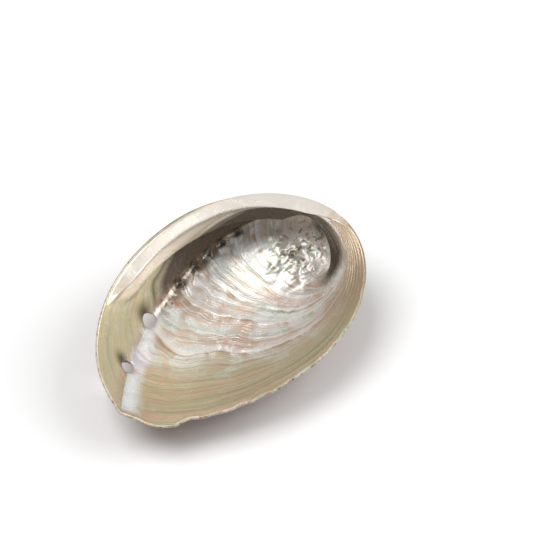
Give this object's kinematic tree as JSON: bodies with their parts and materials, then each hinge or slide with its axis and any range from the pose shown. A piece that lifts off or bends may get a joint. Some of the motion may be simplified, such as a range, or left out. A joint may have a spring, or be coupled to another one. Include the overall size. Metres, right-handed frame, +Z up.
{
  "type": "abalone shell",
  "caption": "Open ear-shaped abalone shell lying on its back: nacre bowl with a flat inner lip, a low spire and a row of holes along one side.",
  "frame": {"origin": "on the surface that the shell lies on, under the middle of its box", "axes": "+X towards the spire end, +Y towards the side with the row of holes, +Z up out of the open side"},
  "size_m": [0.0984, 0.0696, 0.0326],
  "materials": {
    "shell": "glossy nacre inside, rough weathered crust outside"
  },
  "bodies": {
    "root": {"abalone_shell": "shell"}
  },
  "joints": []
}
